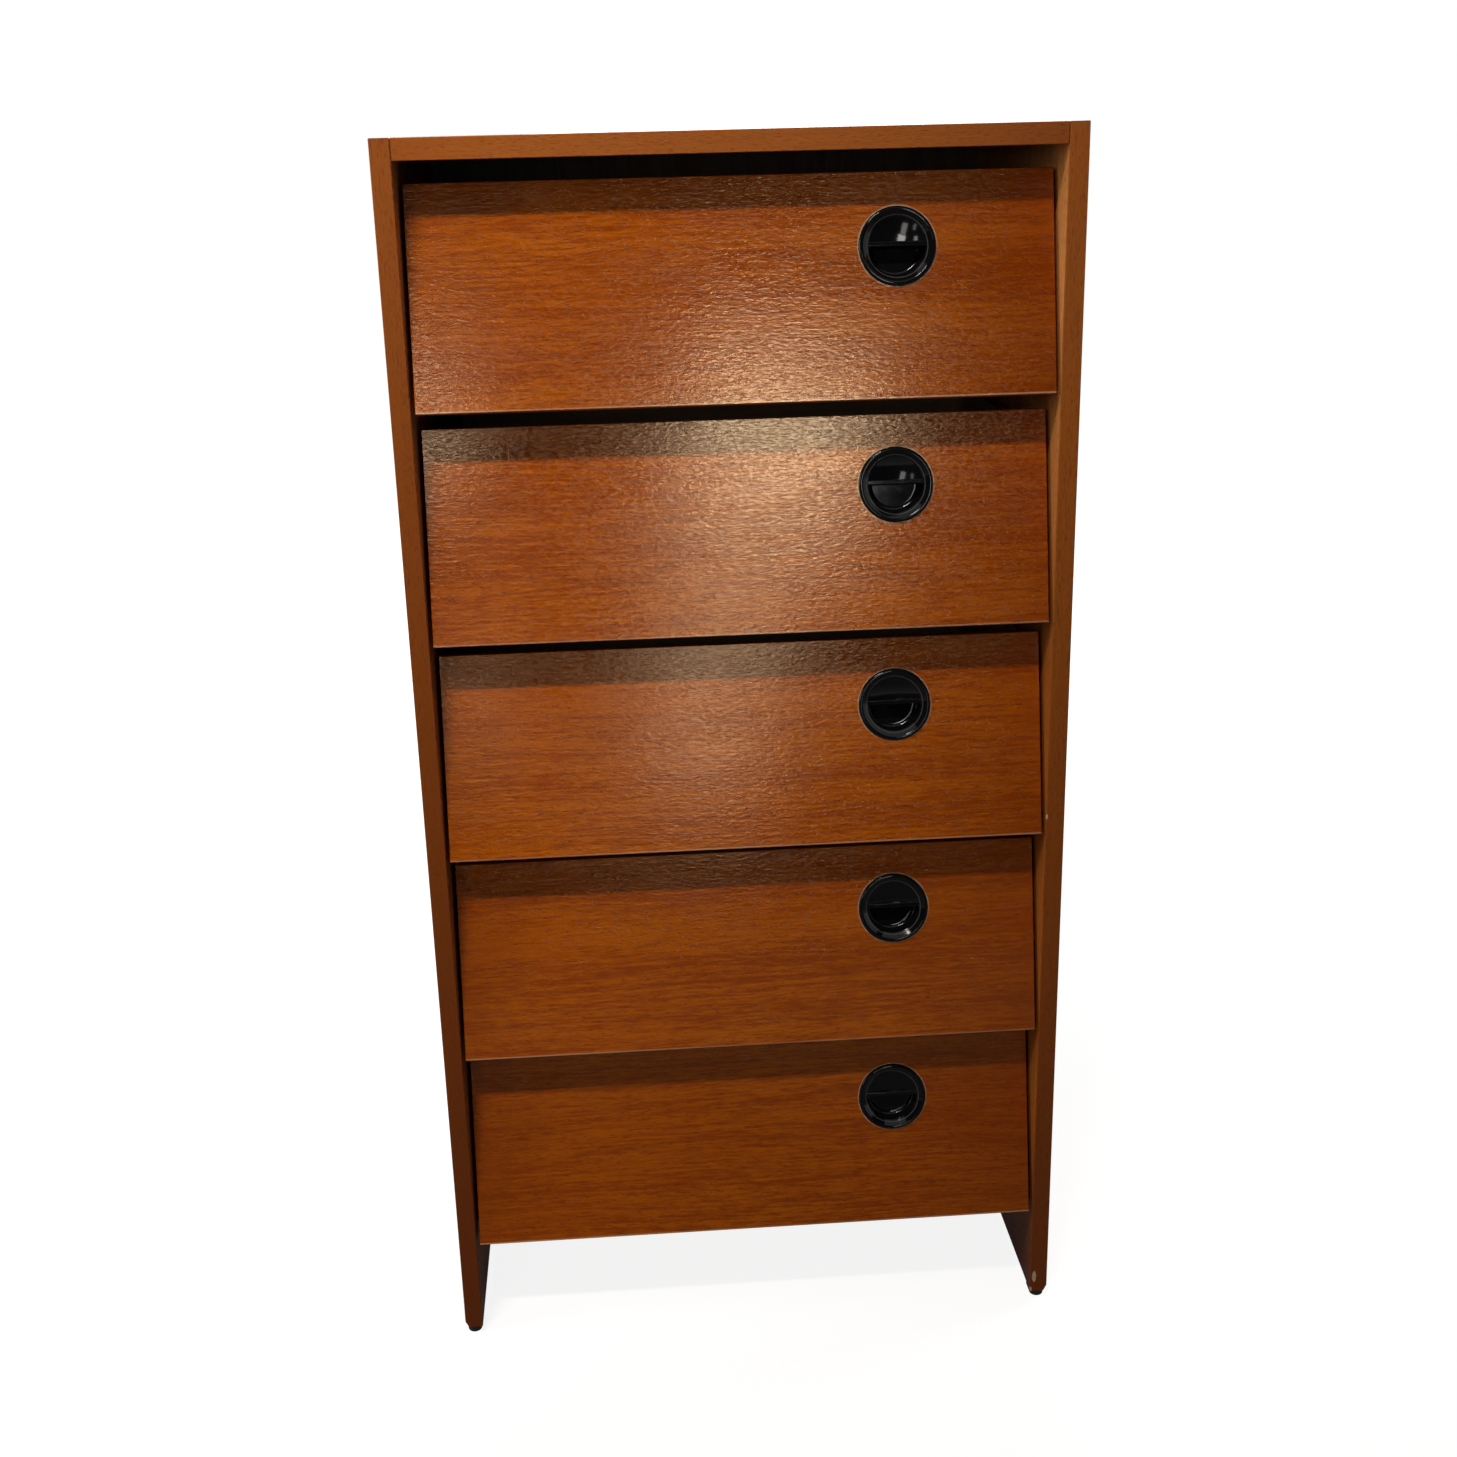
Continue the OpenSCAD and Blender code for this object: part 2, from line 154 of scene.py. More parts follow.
def finishMaterial(tree, values, height, depth):
    # depth is how far the bump stands up at full height, in metres
    bump = addNode(tree, "ShaderNodeBump", {"Strength": 1.0, "Distance": depth, "Height": height})
    shader = addNode(tree, "ShaderNodeBsdfPrincipled", {**values, "Normal": bump.outputs[0]})
    addNode(tree, "ShaderNodeOutputMaterial", {0: shader.outputs[0]})


# reddish veneer under a glossy varnish
frontTones = {"1": 1.0, "2": 1.13, "3": 1.14, "4": 1.08, "5": 1.03}   # each front's colours are scaled by its own factor
tonedParts = ("light", "dark", "red", "ends")
frontShape = {"lean": 11.59, "thickness": 0.019}      # degrees and metres
pullShape = {"beadBehind": 0.0091, "radius": 0.035}   # metres
lean = math.radians(frontShape["lean"])
pullAxis = (0, -math.cos(lean), math.sin(lean))       # square to the leaning front
# how far the sides' inner faces and the ends of the top are from the middle
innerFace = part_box("right_side_panel")[0].x - middle.x + 0.0002
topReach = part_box("top_panel")[1].x - middle.x

veneer = {
    "light": (0.395, 0.086, 0.0006),
    "dark": (0.240, 0.038, 0.0003),
    "red": (0.285, 0.043, 0.0004),
    "redShare": 0.45,
    "pore": (0.120, 0.017, 0.0006),
    "poreShare": 0.5,
    "poreLevel": 0.70,                  # higher makes fewer pores
    "poreCrowding": 0.22,               # how much more of them there are where they crowd
    "poreSoft": 0.06,
    "bare": (0.56, 0.41, 0.27),         # where the veneer is chipped off
    # painted shade: the top and the fronts darken towards both ends, from so many metres off the
    # middle
    "ends": (0.190, 0.028, 0.0004),
    "leftEnd": {"from": 0.20, "share": 0.40},
    "rightEnd": {"from": 0.15, "share": 0.52},
    # strips on the front edges of the sides and the top
    "lipping": (0.370, 0.095, 0.0070),
    "lippingDepth": 0.0015,             # metres
    "paintedLowShade": (0.130, 0.018, 0.0008),   # painted shade on the lipping, darker towards the floor
    "paintedLowShadeHeight": 0.95,               # metres
    "paintedLowShadeShare": 0.85,
    "faintStreaks": 0.45,               # how much the streaks show on lipping and inner faces
    "glueLine": {"width": 0.0008, "share": 0.8},    # where the top meets the sides
    # faces that look inwards, from the top down, and the heights where they change: painted light
    # high up, painted shade low down; the low colour also serves the glue line
    "insidePaintedLight": (0.850, 0.370, 0.1100),
    "insideMid": (0.430, 0.135, 0.0220),
    "insideShadeAndGlue": (0.040, 0.005, 0.0005),
    "lowToMid": (0.02, 0.22),
    "midToHigh": (0.70, 1.05),
    # a thin painted highlight ring in the veneer round a pull, and a painted highlight on the
    # lower arris of a front
    "ringHighlight": (0.460, 0.330, 0.220),
    "ringHighlightWidth": 0.0010,
    "ringHighlightShare": (0.35, 0.85),
    "arrisHighlight": (0.580, 0.310, 0.180),
    "arrisHighlightWidth": 0.0017,
    "arrisHighlightShare": 0.85,
    # the streaks wander so many metres across the grain
    "wanderReach": 0.006,
    "wander": {"along": 1.6, "across": 7, "detail": 2},
    "streakMix": {"broad": 0.30, "fine": 0.38, "dashes": 0.32},
    "streakSpan": (0.43, 0.57),
    # waves a metre along and across the grain, and a shift that keeps the layers apart
    "layers": {
        "broad": {"along": 1.3, "across": 26, "detail": 3, "rough": 0.55},
        "fine": {"along": 12, "across": 330, "detail": 3, "rough": 0.6, "shift": 3.1},
        "dashes": {"along": 55, "across": 420, "detail": 2, "shift": 4.4},
        "sparks": {"along": 160, "across": 380, "detail": 2, "shift": 6.2},
        "specks": {"along": 220, "across": 480, "detail": 2, "rough": 0.6, "shift": 9.1},
        "pores": {"along": 150, "across": 1100, "detail": 1, "rough": 0.4, "shift": 5.7},
        "crowd": {"along": 9, "across": 130, "detail": 2, "shift": 1.9},
    },
    "patches": {"along": 3.0, "across": 6.0, "detail": 2, "shift": 8.4},
    "clouds": {"along": 6, "across": 14, "detail": 3, "rough": 0.6, "shift": 2.2},
    # the varnish: its ripples catch the light, and its specks, the open vessels, are duller
    "relief": 0.00012,                  # metres
    "fineRelief": 0.4,
    "poreRelief": 0.25,
    "gloss": 0.07,
    "glossLess": 0.02,
    "glossMore": 0.04,
    "speckGloss": 0.18,
    "edgeGloss": 0.42,                  # on lipping, inner faces, and a front's ends and rear
    "shine": 0.36,
    "shineTint": (1.0, 0.76, 0.46, 1.0),
}

# the left side's lipping is painted darker, with its painted shade reaching higher
shadedLeftLipping = {"lipping": (0.268, 0.066, 0.0045), "paintedLowShade": (0.094, 0.0125, 0.0006),
               "paintedLowShadeHeight": 1.2}

# where the veneer is chipped off the right leg, and how far each chip reaches
wornChips = [
    {"place": (middle.x + 0.2960, chestLow.y, 0.027), "reach": (0.0022, 0.004, 0.0062)},
    {"place": (middle.x + 0.2925, chestLow.y, 0.011), "reach": (0.0016, 0.003, 0.0030)},
    {"place": (middle.x + 0.3000, chestLow.y, 0.006), "reach": (0.0030, 0.002, 0.0012)},
    {"place": (middle.x + 0.2925, chestLow.y, 0.555), "reach": (0.0012, 0.002, 0.0024)},
]
chipEdge = {"waves": 420.0, "detail": 3.0, "from": 1.45, "to": 1.60}


def chipShare(tree, spot, chip):
    # 1 within a small ragged patch round the chip's place, and 0 elsewhere
    away = vectorMaths(tree, "SUBTRACT", spot, chip["place"])
    away = vectorMaths(tree, "LENGTH", vectorMaths(tree, "DIVIDE", away, chip["reach"]))
    away = maths(tree, "ADD", away, evenNoise(tree, spot, chipEdge["waves"], chipEdge["detail"]))
    return between(tree, away, chipEdge["from"], chipEdge["to"], 1.0, 0.0)


def pullCentre(name):
    # the middle of the ring of the pull's bead
    low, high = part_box(name)
    return ((low.x + high.x) / 2, low.y + pullShape["beadBehind"], (low.z + high.z) / 2)


def lowerArris(name):
    # a point on the lower front edge of a leaning front
    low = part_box(name)[0]
    return (low.x, low.y, low.z + frontShape["thickness"] * math.sin(lean))


def awayFromLine(tree, place, point, along):
    # distance from the straight line that runs through the point
    away = vectorMaths(tree, "SUBTRACT", place, point)
    return vectorMaths(tree, "LENGTH", vectorMaths(tree, "CROSS_PRODUCT", away, along))


def fromMiddle(tree, axes):
    # distance to the left or right of the middle of the chest
    return maths(tree, "ABSOLUTE", maths(tree, "SUBTRACT", axes["X"], middle.x))


def faintStreaks(tree, streak, colour, look):
    share = between(tree, streak, 0.35, 0.65, 0.0, look["faintStreaks"])
    return blend(tree, share, colour, look["dark"])


def makeVeneer(name, grain, look, ends=False, lipped=False, inner=0.0, chips=(), pull=None,
               arris=None):
    material, tree = startMaterial(name)
    spot = objectPlace(tree)
    axes = splitAxes(tree, spot)
    place = grainPlace(tree, grain)
    # the streaks wander a little, so they are read at a place that is moved across the grain
    wander = grainNoise(tree, place, **look["wander"])
    wander = between(tree, wander, *usualSpan, -look["wanderReach"], look["wanderReach"])
    across = addNode(tree, "ShaderNodeCombineXYZ", {1: wander}).outputs[0]
    moved = vectorMaths(tree, "ADD", place, across)
    layers = {part: grainNoise(tree, moved, **waves) for part, waves in look["layers"].items()}
    patches = grainNoise(tree, place, **look["patches"])

    streak = weighted(tree, layers, look["streakMix"])
    colour = blend(tree, between(tree, streak, *look["streakSpan"]), look["light"], look["dark"])
    reddish = between(tree, patches, 0.45, 0.75, 0.0, look["redShare"])
    colour = blend(tree, reddish, colour, look["red"])
    matt = 0.0
    if inner:
        matt = maths(tree, "LESS_THAN", fromMiddle(tree, axes), inner)
        # inner faces: painted light high up and painted shade low down
        high = between(tree, axes["Z"], *look["midToHigh"])
        inside = blend(tree, between(tree, axes["Z"], *look["lowToMid"]),
                       look["insideShadeAndGlue"], look["insideMid"])
        inside = blend(tree, high, inside, look["insidePaintedLight"])
        colour = blend(tree, matt, colour, faintStreaks(tree, streak, inside, look))
    if lipped:
        lipping = maths(tree, "LESS_THAN", axes["Y"], chestLow.y + look["lippingDepth"])
        # painted shade: the lipping darkens towards the floor
        paintedLowShade = between(tree, axes["Z"], chestLow.z, chestLow.z + look["paintedLowShadeHeight"],
                         look["paintedLowShadeShare"], 0.0)
        strip = faintStreaks(tree, streak, look["lipping"], look)
        colour = blend(tree, lipping, colour, blend(tree, paintedLowShade, strip, look["paintedLowShade"]))
        matt = maths(tree, "MAXIMUM", matt, lipping)
    if ends:
        # painted shade, darker towards both ends
        leftEnd, rightEnd = look["leftEnd"], look["rightEnd"]
        left = between(tree, axes["X"], middle.x - leftEnd["from"], chestLow.x,
                       0.0, leftEnd["share"])
        right = between(tree, axes["X"], middle.x + rightEnd["from"], chestHigh.x,
                        0.0, rightEnd["share"])
        colour = blend(tree, maths(tree, "ADD", left, right), colour, look["ends"])
    for chip in chips:
        colour = blend(tree, chipShare(tree, spot, chip), colour, look["bare"])
    crowding = maths(tree, "MULTIPLY", layers["crowd"], look["poreCrowding"])
    level = maths(tree, "SUBTRACT", look["poreLevel"], crowding)
    pore = between(tree, maths(tree, "SUBTRACT", layers["pores"], level), 0.0, look["poreSoft"])
    colour = blend(tree, maths(tree, "MULTIPLY", pore, look["poreShare"]), colour, look["pore"])
    if pull:
        # painted highlight: a thin pale ring round the pull
        away = awayFromLine(tree, spot, pull, pullAxis)
        away = maths(tree, "SUBTRACT", away, pullShape["radius"])
        line = between(tree, away, look["ringHighlightWidth"] * 0.6, look["ringHighlightWidth"] * 1.4, 1.0, 0.0)
        broken = between(tree, layers["crowd"], 0.35, 0.6, *look["ringHighlightShare"])
        colour = blend(tree, maths(tree, "MULTIPLY", line, broken), colour, look["ringHighlight"])
    if arris:
        # only the face of a front is polished: its ends and its rear are matt
        depth = vectorMaths(tree, "SUBTRACT", spot, arris)
        depth = vectorMaths(tree, "DOT_PRODUCT", depth, pullAxis)
        matt = maths(tree, "LESS_THAN", depth, -look["lippingDepth"])
        # painted highlight along the lower arris
        away = awayFromLine(tree, spot, arris, (1, 0, 0))
        line = between(tree, away, look["arrisHighlightWidth"] * 0.6, look["arrisHighlightWidth"] * 1.2,
                       look["arrisHighlightShare"], 0.0)
        broken = between(tree, patches, 0.35, 0.60, 0.35, 1.0)
        colour = blend(tree, maths(tree, "MULTIPLY", line, broken), colour, look["arrisHighlight"])
    if lipped and not inner:
        glue = look["glueLine"]
        line = maths(tree, "GREATER_THAN", fromMiddle(tree, axes), topReach - glue["width"])
        line = maths(tree, "MULTIPLY", line, glue["share"])
        colour = blend(tree, line, colour, look["insideShadeAndGlue"])

    gloss = between(tree, grainNoise(tree, place, **look["clouds"]), *usualSpan,
                    look["gloss"] - look["glossLess"], look["gloss"] + look["glossMore"])
    speck = between(tree, layers["specks"], 0.38, 0.62, 0.0, look["speckGloss"] - look["gloss"])
    dull = maths(tree, "MULTIPLY", matt, look["edgeGloss"] - look["gloss"])
    gloss = maths(tree, "ADD", maths(tree, "ADD", gloss, speck), dull)
    ripples = maths(tree, "MULTIPLY", layers["fine"], look["fineRelief"])
    height = maths(tree, "SUBTRACT", maths(tree, "ADD", ripples, layers["sparks"]),
                   maths(tree, "MULTIPLY", pore, look["poreRelief"]))
    values = {"Base Color": colour, "Roughness": gloss, "IOR": 1.5,
              "Specular IOR Level": look["shine"], "Specular Tint": look["shineTint"]}
    finishMaterial(tree, values, height, look["relief"])
    return material


veneerTop = makeVeneer("veneerTop", "x", veneer, ends=True, lipped=True)
veneerLeft = makeVeneer("veneerLeft", "z", {**veneer, **shadedLeftLipping}, lipped=True,
                        inner=innerFace)
veneerRight = makeVeneer("veneerRight", "z", veneer, lipped=True, inner=innerFace,
                         chips=wornChips)
print("veneer made")


# pale solid woods: the boxes, and the waxed runners and dowels
paleWood = {
    "light": (0.44, 0.27, 0.145),
    "dark": (0.33, 0.19, 0.095),
    "fleck": (0.24, 0.125, 0.058),
    "fleckShare": 0.7,
    "gloss": 0.50,
    "relief": 0.00005,      # metres
    "streakMix": {"broad": 0.6, "fine": 0.4},
    "layers": {
        "broad": {"along": 1.8, "across": 32, "twist": 0.3},
        "fine": {"along": 5, "across": 480, "rough": 0.6, "shift": 2.6},
        "flecks": {"along": 260, "across": 1900, "detail": 1, "rough": 0.4, "shift": 7.7},
    },
}
waxedWood = {
    **paleWood,
    "light": (0.50, 0.32, 0.17),
    "dark": (0.38, 0.22, 0.11),
    "fleck": (0.27, 0.14, 0.065),
    "gloss": 0.42,
}


def makeWood(name, grain, look):
    material, tree = startMaterial(name)
    place = grainPlace(tree, grain)
    layers = {part: grainNoise(tree, place, **waves) for part, waves in look["layers"].items()}
    streak = weighted(tree, layers, look["streakMix"])
    colour = blend(tree, between(tree, streak, 0.36, 0.64), look["light"], look["dark"])
    fleck = between(tree, layers["flecks"], 0.66, 0.74)
    colour = blend(tree, maths(tree, "MULTIPLY", fleck, look["fleckShare"]), colour, look["fleck"])
    gloss = between(tree, layers["broad"], *usualSpan, look["gloss"] - 0.04, look["gloss"] + 0.06)
    height = maths(tree, "SUBTRACT", maths(tree, "MULTIPLY", layers["fine"], 0.5), fleck)
    finishMaterial(tree, {"Base Color": colour, "Roughness": gloss}, height, look["relief"])
    return material


boxSideWood = makeWood("boxSideWood", "y", paleWood)
boxBackWood = makeWood("boxBackWood", "x", paleWood)
runnerWood = makeWood("runnerWood", "y", waxedWood)
print("solid woods made")


# plywood has a peeled face with wide figure, and plies that show at the edges
plywood = {
    "light": (0.50, 0.345, 0.205),
    "dark": (0.37, 0.235, 0.13),
    "core": (0.33, 0.22, 0.13),
    "coreShare": 0.5,
    "ply": 0.0014,          # thickness of one ply in metres
    "gloss": 0.6,
    "relief": 0.00006,      # metres
    "rings": 75.0,          # more of them makes a busier figure
    "wide": {"along": 1.2, "across": 9, "twist": 0.8},
    "fine": {"along": 14, "across": 620, "rough": 0.6, "shift": 4.5},
    "streakMix": {"rings": 0.4, "fine": 0.6},
}
# a dark copy of the plywood for the back, which also keeps the gaps between the fronts dark
darkBackPlywood = {
    **plywood,
    "light": (0.150, 0.078, 0.038),
    "dark": (0.095, 0.045, 0.021),
    "core": (0.20, 0.12, 0.065),
}


def makePlywood(name, grain, thin, look):
    material, tree = startMaterial(name)
    place = grainPlace(tree, grain)
    wide = grainNoise(tree, place, **look["wide"])
    rings = maths(tree, "SINE", maths(tree, "MULTIPLY", wide, look["rings"]))
    fine = grainNoise(tree, place, **look["fine"])
    layers = {"rings": between(tree, rings, -1, 1), "fine": fine}
    streak = weighted(tree, layers, look["streakMix"])
    colour = blend(tree, between(tree, streak, 0.25, 0.75), look["light"], look["dark"])
    # the plies show only at the edges, as lines along the thin way of the board
    through = splitAxes(tree, objectPlace(tree))[thin]
    normal = addNode(tree, "ShaderNodeNewGeometry").outputs["Normal"]
    facing = maths(tree, "ABSOLUTE", splitAxes(tree, normal)[thin])
    ply = maths(tree, "PINGPONG", maths(tree, "DIVIDE", through, look["ply"]), 1.0)
    ply = between(tree, ply, 0.45, 0.55, 0.0, look["coreShare"])
    atEdge = maths(tree, "LESS_THAN", facing, 0.5)
    colour = blend(tree, maths(tree, "MULTIPLY", ply, atEdge), colour, look["core"])
    gloss = between(tree, fine, *usualSpan, look["gloss"] - 0.05, look["gloss"] + 0.05)
    finishMaterial(tree, {"Base Color": colour, "Roughness": gloss}, fine, look["relief"])
    return material


backPlywood = makePlywood("backPlywood", "z", "Y", darkBackPlywood)
flatPlywood = makePlywood("flatPlywood", "x", "Z", plywood)
print("plywood made")


# black plastic of the pulls and the pads
pullPlastic = {
    "colour": (0.0040, 0.0040, 0.0045),
    "dust": (0.03, 0.029, 0.027),
    "dusty": 0.3,
    "gloss": 0.045,         # the bead
    "dishGloss": 0.07,      # the dished plate and the bowl, which are a little duller
    "dish": 0.0275,         # radius in metres
    # a painted highlight ring at the groove
    "groove": (0.075, 0.074, 0.074),
    "grooveWidth": 0.0003,
    "grooveShare": 0.6,
    "shine": 0.18,
    "relief": 0.00002,      # metres
}
padPlastic = {
    "colour": (0.016, 0.016, 0.016),
    "dust": (0.06, 0.057, 0.053),
    "dusty": 0.8,
    "gloss": 0.55,
    "shine": 0.35,
    "relief": 0.00003,
}
dustWaves = {"cloud": 60.0, "grit": 1400.0}


def dustyBlack(tree, place, look):
    cloud = evenNoise(tree, place, dustWaves["cloud"], 4.0)
    grit = evenNoise(tree, place, dustWaves["grit"], 2.0)
    share = maths(tree, "MULTIPLY", between(tree, grit, 0.55, 0.75),
                  between(tree, cloud, 0.4, 0.7, 0.0, look["dusty"]))
    return cloud, blend(tree, share, look["colour"], look["dust"])


def finishPlastic(tree, colour, gloss, cloud, look):
    values = {"Base Color": colour, "Roughness": gloss, "IOR": 1.5,
              "Specular IOR Level": look["shine"]}
    finishMaterial(tree, values, cloud, look["relief"])


def makePlastic(name, look):
    material, tree = startMaterial(name)
    cloud, colour = dustyBlack(tree, objectPlace(tree), look)
    gloss = between(tree, cloud, *usualSpan, look["gloss"] - 0.02, look["gloss"] + 0.04)
    finishPlastic(tree, colour, gloss, cloud, look)
    return material


def makePull(name, look, centre):
    material, tree = startMaterial(name)
    place = objectPlace(tree)
    away = awayFromLine(tree, place, centre, pullAxis)
    cloud, colour = dustyBlack(tree, place, look)
    # a thin grey ring at the groove round the dish is a painted highlight
    fromGroove = maths(tree, "ABSOLUTE", maths(tree, "SUBTRACT", away, look["dish"]))
    groove = between(tree, fromGroove, look["grooveWidth"], look["grooveWidth"] * 2,
                     look["grooveShare"], 0.0)
    colour = blend(tree, groove, colour, look["groove"])
    dull = between(tree, away, look["dish"] - 0.001, look["dish"] + 0.001,
                   look["dishGloss"], look["gloss"])
    gloss = maths(tree, "ADD", dull, between(tree, cloud, *usualSpan, -0.01, 0.02))
    finishPlastic(tree, colour, gloss, cloud, look)
    return material


# metal of the small fixings
steel = {"colour": (0.55, 0.55, 0.56), "dull": (0.30, 0.29, 0.28), "gloss": 0.32}
brass = {"colour": (0.70, 0.50, 0.22), "dull": (0.38, 0.25, 0.10), "gloss": 0.30}
tarnishLook = {"waves": 180.0, "glossMore": 0.18, "relief": 0.00002}


def makeMetal(name, look):
    material, tree = startMaterial(name)
    tarnish = evenNoise(tree, objectPlace(tree), tarnishLook["waves"], 4.0)
    colour = blend(tree, between(tree, tarnish, 0.45, 0.75), look["colour"], look["dull"])
    gloss = between(tree, tarnish, *usualSpan,
                    look["gloss"], look["gloss"] + tarnishLook["glossMore"])
    values = {"Base Color": colour, "Roughness": gloss, "Metallic": 1.0}
    finishMaterial(tree, values, tarnish, tarnishLook["relief"])
    return material


padBlack = makePlastic("padBlack", padPlastic)
pinSteel = makeMetal("pinSteel", steel)
screwBrass = makeMetal("screwBrass", brass)
print("plastic and metal made")


# every node gets its material by its name
def materialFor(name):
    if name == "right_side_panel":
        return veneerRight
    if name == "left_side_panel":
        return veneerLeft
    if name == "top_panel":
        return veneerTop
    if name.endswith("front"):
        tone = frontTones[name.split("_")[1]]
        toned = {part: tuple(c * tone for c in veneer[part]) for part in tonedParts}
        centre = pullCentre(name.replace("front", "pull"))
        return makeVeneer(name + "_veneer", "x", {**veneer, **toned}, ends=True, pull=centre,
                          arris=lowerArris(name))
    if name == "back_panel":
        return backPlywood
    if name == "base_panel" or name.endswith("bottom"):
        return flatPlywood
    if name.startswith("runner_screws"):
        return screwBrass
    if name.startswith("runner") or name == "carcass_dowels":
        return runnerWood
    if name.endswith("_side"):
        return boxSideWood
    if name.endswith("_back"):
        return boxBackWood
    if name.endswith("pull"):
        return makePull(name + "_black", pullPlastic, pullCentre(name))
    if name.startswith("foot_pad") and not name.endswith("nails"):
        return padBlack
    return pinSteel


for name, node in nodes.items():
    node.data.materials.clear()
    node.data.materials.append(materialFor(name))
print("materials on", len(nodes), "nodes")


# a pale floor that is white where the camera looks; in the varnish it is painted dark near the
# chest, as shade under and round it
floorLook = {
    "size": 60.0,           # metres
    "sides": 64,
    "colour": (0.27, 0.27, 0.265),
    # added paleness near the chest and far from it, and the metres where it changes
    "pale": {"near": 0.87, "far": 1.0, "nearEdge": 1.2, "farEdge": 4.0},
    # painted shade: in reflections the floor is dark near the chest
    "paleInGloss": {"near": 0.05, "far": 1.0, "nearEdge": 2.5, "farEdge": 9.0},
}
roomLook = {"ambient": (0.06, 0.06, 0.06), "behind": (1.0, 1.0, 1.0)}
flagLook = {
    "radius": 6.6,          # metres
    "height": 8.0,
    "aboveFloor": 0.02,
    "openAt": 3.0,          # the screen starts so far in front of the chest
    "sides": 72,
    "colour": (0.015, 0.015, 0.015),
}

# places in metres, turns in degrees, power in watts
warmWhite = (1.0, 0.97, 0.95)
sideWhite = (1.0, 0.98, 0.95)
lamps = {
    # a long strip high up, for the shadows under the fronts
    "keyStrip": {
        "place": (-1.9, -2.6, 4.57), "turn": (51.3, 0, 0), "size": (2.8, 0.22),
        "spread": 64, "power": 110.0, "colour": (1.0, 0.94, 0.82)},
    # fills the shadows, and the varnish doesn't mirror it
    "frontFill": {
        "place": (-1.2, -3.2, 1.7), "aim": (0.0, 0.0, 0.8), "size": (1.2, 1.2),
        "softOnly": True, "power": 12.5, "colour": (1.0, 0.97, 0.93)},
    # four that only the varnish mirrors: the sheen on the upper fronts, and on those below
    "frontGlow": {
        "place": (0.60, -6.0, 2.35), "turn": (88, 17, 0), "size": (0.74, 0.75),
        "reflectionOnly": True, "power": 40.0, "colour": warmWhite},
    "sideGlow": {
        "place": (-0.86, -6.0, 2.50), "turn": (88, 4, 0), "size": (0.30, 0.70),
        "reflectionOnly": True, "power": 8.5, "colour": warmWhite},
    "sideLow": {
        "place": (-0.72, -6.0, 1.28), "turn": (90, 4, 0), "size": (0.26, 0.50),
        "reflectionOnly": True, "power": 2.2, "colour": warmWhite},
    "lowGlow": {
        "place": (0.30, -6.0, 1.38), "turn": (90, 14, 0), "size": (0.50, 1.10),
        "reflectionOnly": True, "power": 15.0, "colour": warmWhite},
    # soft light for the sides and the back
    "leftSide": {
        "place": (-2.9, -0.6, 1.7), "aim": (-0.3, 0.0, 0.8), "size": (1.2, 1.2),
        "power": 34.0, "colour": sideWhite},
    "rightSide": {
        "place": (2.8, 1.1, 1.9), "aim": (0.3, 0.1, 0.7), "size": (1.2, 1.2),
        "power": 34.0, "colour": sideWhite},
    "backFill": {
        "place": (0.6, 3.2, 2.3), "aim": (0.0, 0.0, 0.6), "size": (2.0, 2.0),
        "power": 40.0, "colour": (1.0, 1.0, 1.0)},
}


def rayKinds(tree):
    # what the camera sees itself, and what it sees in gloss or through glass
    path = addNode(tree, "ShaderNodeLightPath").outputs
    reflected = maths(tree, "MAXIMUM", path["Is Glossy Ray"], path["Is Transmission Ray"])
    return path["Is Camera Ray"], reflected


def mattShader(tree, look):
    return addNode(tree, "ShaderNodeBsdfDiffuse", {"Color": (*look["colour"], 1)}).outputs[0]


def makeFloor(look):
    bpy.ops.mesh.primitive_circle_add(vertices=look["sides"], radius=look["size"] / 2,
                                      fill_type="NGON")
    floor = bpy.context.active_object
    floor.name = "floor"
    material, tree = startMaterial("floorPale")
    away = vectorMaths(tree, "LENGTH", objectPlace(tree))
    direct, reflected = rayKinds(tree)
    strength = 0.0
    for paleness, rays in ((look["pale"], direct), (look["paleInGloss"], reflected)):
        pale = between(tree, away, paleness["nearEdge"], paleness["farEdge"],
                       paleness["near"], paleness["far"])
        strength = maths(tree, "ADD", strength, maths(tree, "MULTIPLY", pale, rays))
    glow = addNode(tree, "ShaderNodeEmission", {"Color": (1, 1, 1, 1), "Strength": strength})
    both = addNode(tree, "ShaderNodeAddShader", {0: glow.outputs[0], 1: mattShader(tree, look)})
    addNode(tree, "ShaderNodeOutputMaterial", {0: both.outputs[0]})
    floor.data.materials.append(material)


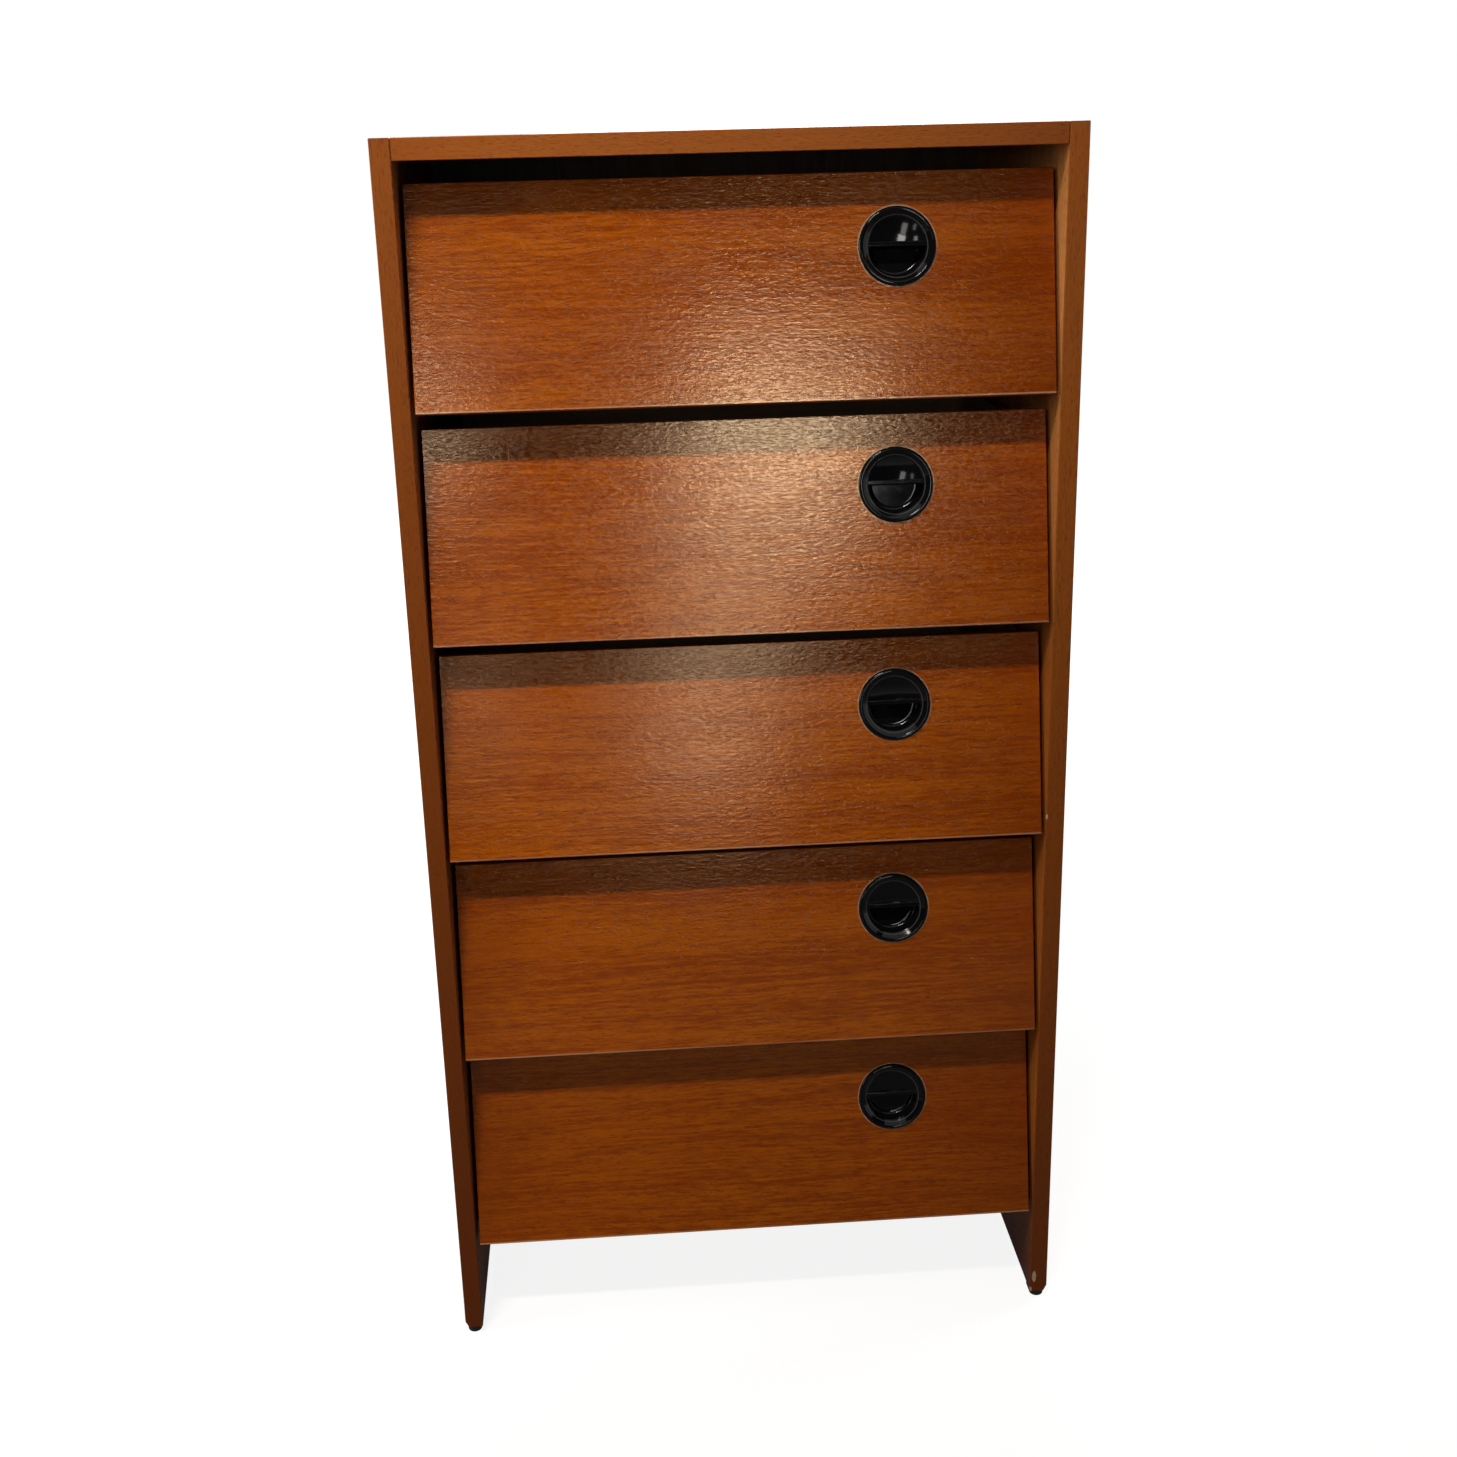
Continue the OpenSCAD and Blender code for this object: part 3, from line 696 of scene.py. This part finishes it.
def makeRoom(look):
    world = bpy.data.worlds.new("room")
    bpy.context.scene.world = world
    world.use_nodes = True
    tree = world.node_tree
    tree.nodes.clear()
    seen = maths(tree, "MAXIMUM", *rayKinds(tree))
    colour = blend(tree, seen, look["ambient"], look["behind"])
    sky = addNode(tree, "ShaderNodeBackground", {"Color": colour, "Strength": 1.0})
    addNode(tree, "ShaderNodeOutputWorld", {0: sky.outputs[0]})


def makeFlag(look):
    # a dark curved screen in front of the chest that only reflections see, as a studio flag
    bpy.ops.mesh.primitive_cylinder_add(vertices=look["sides"], radius=look["radius"],
                                        depth=look["height"], end_fill_type="NOTHING")
    flag = bpy.context.active_object
    flag.name = "flag"
    bpy.ops.object.mode_set(mode="EDIT")
    halfUp = look["height"] / 2 + look["aboveFloor"]
    bpy.ops.transform.translate(value=(middle.x, chestLow.y, halfUp))
    bpy.ops.mesh.select_all(action="DESELECT")
    bpy.ops.object.mode_set(mode="OBJECT")
    for face in flag.data.polygons:
        face.select = face.center.y > chestLow.y - look["openAt"]
    bpy.ops.object.mode_set(mode="EDIT")
    bpy.ops.mesh.delete(type="FACE")
    bpy.ops.object.mode_set(mode="OBJECT")
    material, tree = startMaterial("flagDark")
    addNode(tree, "ShaderNodeOutputMaterial", {0: mattShader(tree, look)})
    flag.data.materials.append(material)
    flag.visible_camera = False
    flag.visible_diffuse = False
    flag.visible_shadow = False


def makeLamp(name, setup):
    data = bpy.data.lights.new(name, "AREA")
    data.energy = setup["power"]
    data.color = setup["colour"]
    data.shape = "RECTANGLE"
    data.size, data.size_y = setup["size"]
    data.spread = math.radians(setup.get("spread", 180))
    lamp = bpy.data.objects.new(name, data)
    lamp.location = setup["place"]
    if "aim" in setup:
        direction = Vector(setup["aim"]) - Vector(setup["place"])
        lamp.rotation_euler = direction.to_track_quat("-Z", "Y").to_euler()
    else:
        lamp.rotation_euler = [math.radians(angle) for angle in setup["turn"]]
    lamp.visible_camera = False
    lamp.visible_diffuse = not setup.get("reflectionOnly", False)
    lamp.visible_glossy = not setup.get("softOnly", False)
    bpy.context.scene.collection.objects.link(lamp)


bpy.ops.object.select_all(action="DESELECT")
makeFloor(floorLook)
makeRoom(roomLook)
makeFlag(flagLook)
for name, setup in lamps.items():
    makeLamp(name, setup)
print("floor, room and lamps made")
